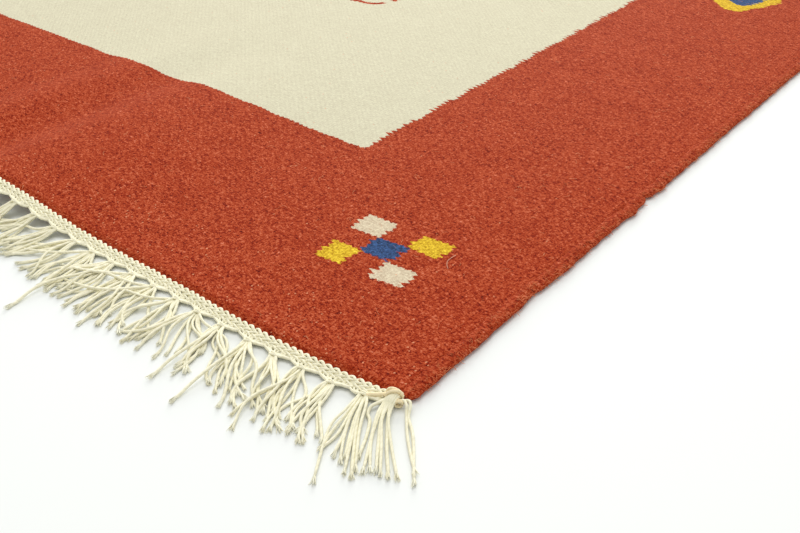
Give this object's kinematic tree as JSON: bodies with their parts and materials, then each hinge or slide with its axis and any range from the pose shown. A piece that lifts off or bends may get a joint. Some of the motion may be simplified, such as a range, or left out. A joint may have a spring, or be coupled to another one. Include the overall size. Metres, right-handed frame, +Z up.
{
  "type": "kilim rug",
  "caption": "Flat-woven wool rug with a plain border, small checker motifs in its corners, cotton end bands and knotted fringes, lying flat with soft ripples by an end.",
  "frame": {"origin": "on the floor, under the middle of the rug's bounding box", "axes": "+X across the rug along the weft, +Y along the rug's length along the warp, +Z up from the floor"},
  "size_m": [1.2534, 1.9422, 0.0162],
  "materials": {
    "wool": "matt heathered wool weft, terracotta red with ecru, yellow and blue",
    "cotton": "natural ecru cotton yarn"
  },
  "bodies": {
    "root": {"woven_web": "wool", "end_band_front": "cotton", "end_band_back": "cotton", "fringe_front": "cotton", "fringe_back": "cotton"}
  },
  "joints": []
}
